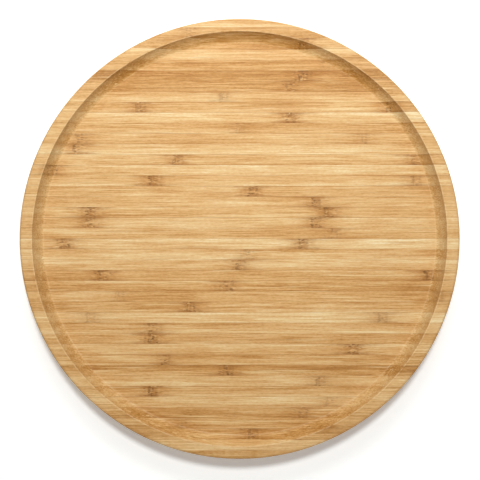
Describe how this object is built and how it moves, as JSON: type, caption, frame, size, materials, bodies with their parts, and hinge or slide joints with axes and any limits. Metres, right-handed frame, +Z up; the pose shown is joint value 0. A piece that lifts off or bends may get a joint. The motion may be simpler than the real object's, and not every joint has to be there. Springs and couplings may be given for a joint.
{
  "type": "lazy susan turntable",
  "caption": "Round recessed bamboo tray that spins freely on a flat steel ball bearing above a smaller bamboo base disc with rubber feet, for passing food or jars.",
  "frame": {"origin": "on the table, at the centre of the plane of the feet's soles, on the turning axis", "axes": "+Z up along the turning axis; X along the bamboo strips of the tray at rest"},
  "size_m": [0.35, 0.35, 0.038],
  "materials": {
    "bamboo": "satin",
    "zinc_steel": "satin",
    "ball_steel": "polished",
    "nylon": "matte",
    "rubber": "matte"
  },
  "bodies": {
    "base": {"base_disc": "bamboo", "bearing_lower_plate": "zinc_steel", "lower_plate_screw_1": "zinc_steel", "lower_plate_screw_2": "zinc_steel", "lower_plate_screw_3": "zinc_steel", "lower_plate_screw_4": "zinc_steel", "foot_1": "rubber", "foot_2": "rubber", "foot_3": "rubber", "foot_4": "rubber", "foot_screw_1": "zinc_steel", "foot_screw_2": "zinc_steel", "foot_screw_3": "zinc_steel", "foot_screw_4": "zinc_steel"},
    "turntable": {"tray": "bamboo", "bearing_upper_plate": "zinc_steel", "upper_plate_screw_1": "zinc_steel", "upper_plate_screw_2": "zinc_steel", "upper_plate_screw_3": "zinc_steel", "upper_plate_screw_4": "zinc_steel"},
    "cage": {"ball_cage": "nylon", "bearing_ball_1": "ball_steel", "bearing_ball_2": "ball_steel", "bearing_ball_3": "ball_steel", "bearing_ball_4": "ball_steel", "bearing_ball_5": "ball_steel", "bearing_ball_6": "ball_steel", "bearing_ball_7": "ball_steel", "bearing_ball_8": "ball_steel", "bearing_ball_9": "ball_steel", "bearing_ball_10": "ball_steel", "bearing_ball_11": "ball_steel", "bearing_ball_12": "ball_steel"}
  },
  "joints": [
    {"name": "tray_spin", "type": "hinge", "parent": "base", "child": "turntable", "pos_m": [0, 0, 0.016], "axis": [0, 0, 1], "continuous": true},
    {"name": "cage_spin", "type": "hinge", "parent": "base", "child": "cage", "pos_m": [0, 0, 0.016], "axis": [0, 0, 1], "continuous": true}
  ],
  "couplings": [
    {"joint": "cage_spin", "follows": "tray_spin", "ratio": 0.5}
  ]
}
